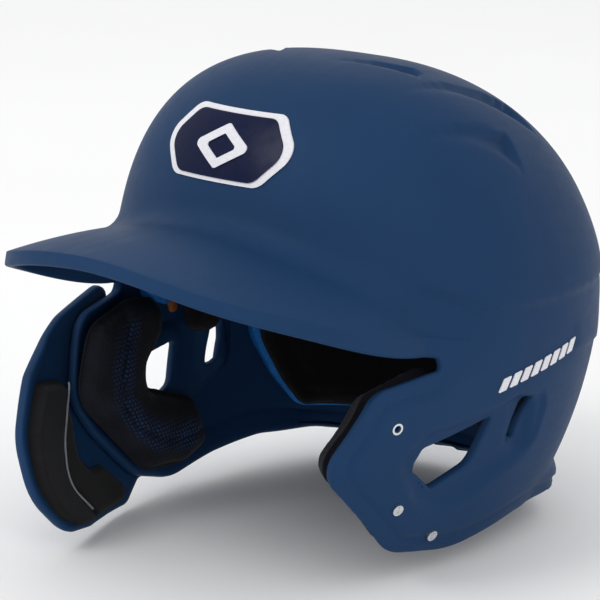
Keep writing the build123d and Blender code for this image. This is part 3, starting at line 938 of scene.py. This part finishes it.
def guard_outer(uv, depth):
    swell = 1 - smooth((depth - 1) / 6.0)
    return 4.6 + 0.9 * swell + 0.5 * smooth((depth - 6) / 8)


def guard_inner(uv, depth):
    free = smooth((-58 - uv[:, 0]) / 8)
    return 1.0 - 1.2 * (1 - smooth((depth - 1) / 6.0)) * free


points, faces, _, _ = plate(guard_region, guard_point, guard_outer, guard_inner, 1.3, 2.0, flip=True)
guard, _ = piece("jaw_guard_moulding", points, faces, GUARD_PAINT)
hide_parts("jaw_guard")


# Pieces: impact foam

SIDE_LINER = [(6, 37, 3), (19, 31.5, 3), (24, 39, 5), (36, 36, 6), (40, 24, 6), (55, 22, 6),
              (60, 40, 8), (52, 84, 14), (-8, 84, 14), (-16, 60, 8), (4, 50, 6)]
SIDE_PAD = [(24, 31, 4), (27, 17, 7), (44, 15, 8), (54, 25, 9), (56, 40, 8), (48, 79, 13),
            (-4, 79, 13), (-10, 63, 8), (12, 52, 6)]
FRONT_LINER = [(-66, 104, 8), (-60, 130, 12), (60, 130, 12), (66, 104, 8), (0, 98, 40)]
# The rear liner wraps round, so its u runs along an arc of this radius.
WRAP_RADIUS = 105.0
REAR_LINER = [(-130, 60, 16), (-131, 6, 22), (-120, -15, 30), (-108, -29, 12), (-60, -31, 60),
              (60, -31, 60), (108, -29, 12), (120, -15, 30), (131, 6, 22), (130, 60, 16)]
CROWN_LINER = [(-58, 12, 20), (-58, 98, 26), (58, 98, 26), (58, 12, 20)]


def around_point(uv, offset):
    turn = uv[:, 0] / WRAP_RADIUS
    start = np.stack([0 * turn, np.full(len(uv), CENTRE_Y), uv[:, 1]], 1)
    return hit(start, np.stack([-np.sin(turn), np.cos(turn), 0 * turn], 1), offset)


def pad(made, node):
    """Hides the CAD node which a padded piece stands for."""
    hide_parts(node)


def scaled(corners, factor):
    u0 = sum(c[0] for c in corners) / len(corners)
    v0 = sum(c[1] for c in corners) / len(corners)
    return [(u0 + (u - u0) * factor, v0 + (v - v0) * factor, r * factor) for u, v, r in corners]


def liner(name, node, corners, place, flip, thickness=11.0):
    """A foam block with softened edges, and shallow vent grooves moulded across its inner face."""
    region = Region([(u, v, max(r, 3)) for u, v, r in scaled(corners, 0.975)])

    def outer(uv, depth):
        dent = np.minimum(relief(place(uv, 0 * depth), 0.0), 0)
        return -3.9 + dent - 1.2 * (1 - smooth(depth / 2.5))

    def inner(uv, depth):
        groove = 1.2 * smooth((np.abs((uv[:, 0] / 22) % 1 - 0.5) * 22 - 1.2) / 1.2) - 1.2
        return -3.7 - thickness + 2.0 * (1 - smooth(depth / 4.0)) - groove * smooth((depth - 5) / 4)

    points, faces, _, _ = plate(region, place, outer, inner, 2.2, 0.9, flip)
    pad(piece(name, points, faces, BLUE_FOAM)[0], node)


liner("left_foam_block", "left_liner", SIDE_LINER, left_point, False)
liner("right_foam_block", "right_liner", SIDE_LINER, right_point, True)
liner("front_foam_block", "front_liner", FRONT_LINER, front_point, False)
liner("rear_foam_block", "rear_liner", REAR_LINER, around_point, False)
liner("crown_foam_block", "crown_liner", CROWN_LINER, crown_point, False)


# Soft pieces swell as cloth

# The voxel and the two caps are in metres.
CLOTH_VOXEL, CLOTH_PRESSURE, CLOTH_FRAMES = 0.0045, 4.0, 20
PAD_SWELL, EAR_PAD_SWELL = 0.0025, 0.003


def coordinates(mesh):
    flat = np.empty(len(mesh.vertices) * 3)
    mesh.vertices.foreach_get("co", flat)
    return flat.reshape(-1, 3)


def swell(made, cap):
    """Swells a coarse copy of the pad as cloth under pressure, and moves the pad the same way.

    No point moves more than cap (metres) or towards the shell, so the seams stay.
    """
    scene = bpy.context.scene
    coarse = add_object(made.name + "_cloth", made.data.copy())
    remesh = coarse.modifiers.new("remesh", "REMESH")
    remesh.mode, remesh.voxel_size = "VOXEL", CLOTH_VOXEL
    graph = bpy.context.evaluated_depsgraph_get()
    mesh = bpy.data.meshes.new_from_object(coarse.evaluated_get(graph))
    coarse.modifiers.clear()
    coarse.data = mesh
    before = coordinates(mesh)
    cloth = coarse.modifiers.new("cloth", "CLOTH")
    cloth.settings.use_pressure = True
    cloth.settings.uniform_pressure_force = CLOTH_PRESSURE
    cloth.settings.effector_weights.gravity = 0
    cloth.point_cache.frame_start, cloth.point_cache.frame_end = 1, CLOTH_FRAMES
    for number in range(1, CLOTH_FRAMES + 1):
        scene.frame_set(number)
    graph = bpy.context.evaluated_depsgraph_get()
    moved = coordinates(coarse.evaluated_get(graph).data) - before
    scene.frame_set(1)
    bpy.data.objects.remove(coarse)
    tree = KDTree(len(before))
    for i, point in enumerate(before):
        tree.insert(point, i)
    tree.balance()
    points = coordinates(made.data)
    shift = np.zeros_like(points)
    for i, point in enumerate(points):
        near = tree.find_n(point, 6)
        weights = np.array([1 / (gap + 0.001) for _, _, gap in near])
        shift[i] = weights @ moved[[j for _, j, _ in near]] / weights.sum()
    inward = np.array([0, CENTRE_Y * MM, CENTRE_Z * MM]) - points
    inward /= np.linalg.norm(inward, axis=1)[:, None]
    shift -= np.minimum((shift * inward).sum(1), 0)[:, None] * inward
    length = np.linalg.norm(shift, axis=1)[:, None]
    shift *= np.tanh(length / cap) * cap / np.maximum(length, 1e-9)
    made.data.vertices.foreach_set("co", (points + shift).ravel())
    made.data.update()


# Pieces: comfort pads

def tube(name, line, radius, material, sides=8):
    """A round tube along a polyline, closed at its ends."""
    ahead = np.gradient(line, axis=0)
    ahead /= np.linalg.norm(ahead, axis=1)[:, None]
    across = np.cross(ahead, (0.9, 0.3, 0.3))
    across /= np.linalg.norm(across, axis=1)[:, None]
    over = np.cross(ahead, across)
    turn = np.arange(sides) * 2 * math.pi / sides
    rings = (line[:, None] + radius * (across[:, None] * np.cos(turn)[None, :, None]
                                       + over[:, None] * np.sin(turn)[None, :, None]))
    index = np.arange(rings[..., 0].size).reshape(len(line), sides)
    after = np.roll(index, -1, 1)
    faces = np.stack([index[:-1], after[:-1], after[1:], index[1:]], -1).reshape(-1, 4).tolist()
    faces = [tuple(face) for face in faces] + [tuple(reversed(index[0].tolist())), tuple(index[-1].tolist())]
    piece(name, rings.reshape(-1, 3), faces, material)


def comfort_pad(name, node, corners, place, flip, wrinkles=0.0):
    """A cloth-covered pad, crowned, with a border channel and soft wrinkles."""
    region = Region([(u, v, max(r, 5)) for u, v, r in corners])
    crown = pillow(9.0)

    def outer(uv, depth):
        return -15.6 - 1.6 * (1 - crown(depth))

    def inner(uv, depth):
        channel = 1.1 * np.exp(-((depth - 8.5) / 1.5) ** 2)
        folds = np.sin(uv[:, 0] / 2.6 + 1.7 * np.sin(uv[:, 1] / 19.0)) * np.sin(uv[:, 1] / 26.0 + 0.6)
        return -16.4 - 6.6 * crown(depth) + channel + wrinkles * folds * smooth((depth - 9) / 6)

    points, faces, _, _ = plate(region, place, outer, inner, 1.8, 1.2, flip)
    made, _ = piece(name, points, faces, BLACK_CLOTH)
    swell(made, PAD_SWELL)
    pad(made, node)


comfort_pad("left_comfort_pad", "left_pad", SIDE_PAD, left_point, False, 0.3)
comfort_pad("right_comfort_pad", "right_pad", SIDE_PAD, right_point, True, 0.3)
comfort_pad("front_comfort_pad", "front_pad", scaled(FRONT_LINER, 0.87), front_point, False, 0.3)
comfort_pad("rear_comfort_pad", "rear_pad", scaled(REAR_LINER, 0.985), around_point, False, 0.7)
comfort_pad("crown_comfort_pad", "crown_pad", scaled(CROWN_LINER, 0.87), crown_point, False, 0.3)


# Pieces: ear pads

EAR_PAD = [
    (-43, 34, 8), (-60, 4, 12), (-21, -38, 18), (8, -43, 12), (28, -40, 7), (26, -26, 7),
    (5, -21, 8), (-18, -14, 10), (-17, 8, 10), (-3, 24, 6), (4, 39, 8), (-16, 42, 6),
]
EAR_SEAM = [(-22, 40), (-26, 26), (-33, 10), (-35, -3), (-27, -15), (-12, -25), (6, -30), (26, -31)]
RIGHT_EAR_PAD = [
    (-41, 34, 8), (-58, 4, 12), (-20, -39, 18), (8, -43, 12), (28, -38, 9), (26, -18, 9),
    (8, -10, 8), (-8, -3, 9), (-5, 10, 10), (7, 24, 6), (7, 39, 8), (-16, 42, 6),
]


def ear_pad(name, node, corners, place, flip):
    region = Region(corners)
    crown = pillow(11.0)

    def outer(uv, depth):
        return -9.6 - 3.0 * (1 - crown(depth))

    def inner(uv, depth):
        distance = along(uv, EAR_SEAM)[0]
        groove = 1.9 * np.exp(-(distance / 1.3) ** 2) * smooth(depth / 6)
        stitches = 0.35 * np.sin(uv[:, 1] / 0.55) * np.exp(-((distance - 2.2) / 0.7) ** 2)
        puckers = 0.35 * np.sin((uv[:, 0] - uv[:, 1]) / 2.6) * np.exp(-(distance / 6) ** 2)
        return -13.4 - 10.4 * crown(depth) + groove + stitches * smooth(depth / 6) + puckers

    points, faces, uv, depth = plate(region, place, outer, inner, 1.5, 1.6, flip)
    made, used = piece(name, points, faces, EAR_CLOTH)
    panel = np.zeros(len(points))
    near_seam = 1 - smooth((along(uv, EAR_SEAM)[0] - 3.5) / 7.0)
    panel[len(uv):2 * len(uv)] = np.clip(near_seam, 0, 1) * smooth((depth - 4) / 5)
    layer = made.data.attributes.new("panel", "FLOAT", "POINT")
    layer.data.foreach_set("value", panel[used][:len(made.data.vertices)].astype(np.float32))
    swell(made, EAR_PAD_SWELL)
    pad(made, node)


def backing(name, node, place, flip):
    region = Region(scaled(EAR_PAD, 0.79))
    points, faces, _, _ = plate(region, place, lambda uv, d: 0 * d - 7.9, lambda uv, d: 0 * d - 9.3,
                                2.0, 0.6, flip)
    pad(piece(name, points, faces, LOOP_CLOTH)[0], node)


ear_pad("left_ear_cushion", "left_ear_pad", EAR_PAD, left_point, False)
ear_pad("right_ear_cushion", "right_ear_pad", RIGHT_EAR_PAD, right_point, True)
backing("left_ear_backing", "left_ear_pad_backing", left_point, False)
backing("right_ear_backing", "right_ear_pad_backing", right_point, True)


# Pieces: the guard's pads and the fit tab

GUARD_FRONT_PAD = [
    (-77.5, 13.5, 4), (-93.5, -5, 16), (-98, -25, 16), (-90, -41, 16), (-75, -49.5, 14), (-58.5, -51, 3),
    (-77.5, -30, 14), (-71.5, -14, 30), (-56.5, 9.8, 3),
]
GUARD_LOWER_PAD = [
    (-57.5, 6.5, 1), (-56.5, 3, 1.5), (-55, -8, 10), (-58, -25, 6), (-51, -33.5, 6), (-41, -33.5, 5),
    (-26, -49, 3), (-33, -51, 4), (-56.5, -51, 2), (-75.5, -30, 13), (-70, -14, 30),
]


def guard_pad(name, node, corners, thickness, material, crown_edge):
    region = Region(corners)
    crown = pillow(crown_edge)

    def outer(uv, depth):
        return 0 * depth + 0.1

    def inner(uv, depth):
        rough = 0.12 * np.sin(uv[:, 0] * 1.9) * np.sin(uv[:, 1] * 2.3 + uv[:, 0])
        return -0.8 - (thickness - 1.4) * crown(depth) + rough

    points, faces, _, _ = plate(region, guard_point, outer, inner, 1.2, 0.7, True)
    pad(piece(name, points, faces, material)[0], node)


guard_pad("guard_front_cushion", "guard_front_pad", GUARD_FRONT_PAD, 8.0, GUARD_CLOTH, 2.6)
guard_pad("guard_lower_strip", "guard_lower_pad", GUARD_LOWER_PAD, 3.0, LOOP_CLOTH, 2.0)
inner_edge = rounded(GUARD_FRONT_PAD[5:] + [(-60, 14, 1)], 2.0)[3:-5]
seam_line = guard_point(inner_edge, np.full(len(inner_edge), -6.6))
tube("guard_piping", seam_line, 0.5, PIPING)

tab_region = Region([(26, 32, 1), (31.5, 32, 1), (32.5, 25.5, 2), (27.5, 24.5, 2)])
points, faces, _, _ = plate(tab_region, right_point, lambda uv, d: 0 * d - 3.8,
                            lambda uv, d: -4.8 - 0.4 * smooth(d / 1.5), 0.5, 0.4, True)
tab, _ = piece("fit_strap_tab", points, faces, TAB_LEATHER)
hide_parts("fit_tab")


# Floor, light and camera

FLOOR_GAP = 0.0015
LIGHT_TARGET = Vector((0, 0, 0.05))


def stage_floor():
    mesh = bpy.data.meshes.new("floor")
    low = CAD_BOX[0][2] - FLOOR_GAP
    mesh.from_pydata([(-3, -3, low), (3, -3, low), (3, 3, low), (-3, 3, low)], [], [(0, 1, 2, 3)])
    floor = add_object("floor", mesh)
    m = Nodes("floor_paper", roughness=0.9)
    m.link(m.ramp(m.noise(3.0, 2), (0.3, (0.95, 0.95, 0.955)), (0.7, (0.97, 0.97, 0.975))), "Base Color")
    mesh.materials.append(m.material)


def aim(made, place, target):
    made.location = place
    made.rotation_euler = (target - made.location).to_track_quat("-Z", "Y").to_euler()


def area_light(name, place, size, power):
    data = bpy.data.lights.new(name, "AREA")
    data.shape, data.size, data.energy = "DISK", size, power
    aim(add_object(name, data), place, LIGHT_TARGET)


stage_floor()
area_light("key", (-0.5, -1.3, 1.5), 1.0, 9.5)
area_light("fill", (1.5, -0.6, 0.8), 1.3, 1.9)
area_light("back", (-1.2, 0.9, 1.2), 1.2, 1)
world = bpy.data.worlds.new("studio")
world.use_nodes = True
world.node_tree.nodes["Background"].inputs["Color"].default_value = (1, 1, 1, 1)
world.node_tree.nodes["Background"].inputs["Strength"].default_value = 0.88
bpy.context.scene.world = world
bpy.context.scene.view_settings.view_transform = "Standard"

AZIMUTH, ELEVATION, DISTANCE = math.radians(43.0), math.radians(13.984), 1.3485
VIEW_TARGET = Vector((0, 0.018, 0.059))
AIM_LEFT, AIM_DOWN = 0.00558, 0.00793
LENS, SENSOR_WIDTH = 175.4, 36.0
back = Vector((math.sin(AZIMUTH) * math.cos(ELEVATION), -math.cos(AZIMUTH) * math.cos(ELEVATION),
               math.sin(ELEVATION)))
right = Vector((math.cos(AZIMUTH), math.sin(AZIMUTH), 0))
camera_data = bpy.data.cameras.new("camera")
camera_data.lens, camera_data.sensor_width = LENS, SENSOR_WIDTH
camera = add_object("camera", camera_data)
aim(camera, VIEW_TARGET + back * DISTANCE, VIEW_TARGET - right * AIM_LEFT - back.cross(right) * AIM_DOWN)
bpy.context.scene.camera = camera
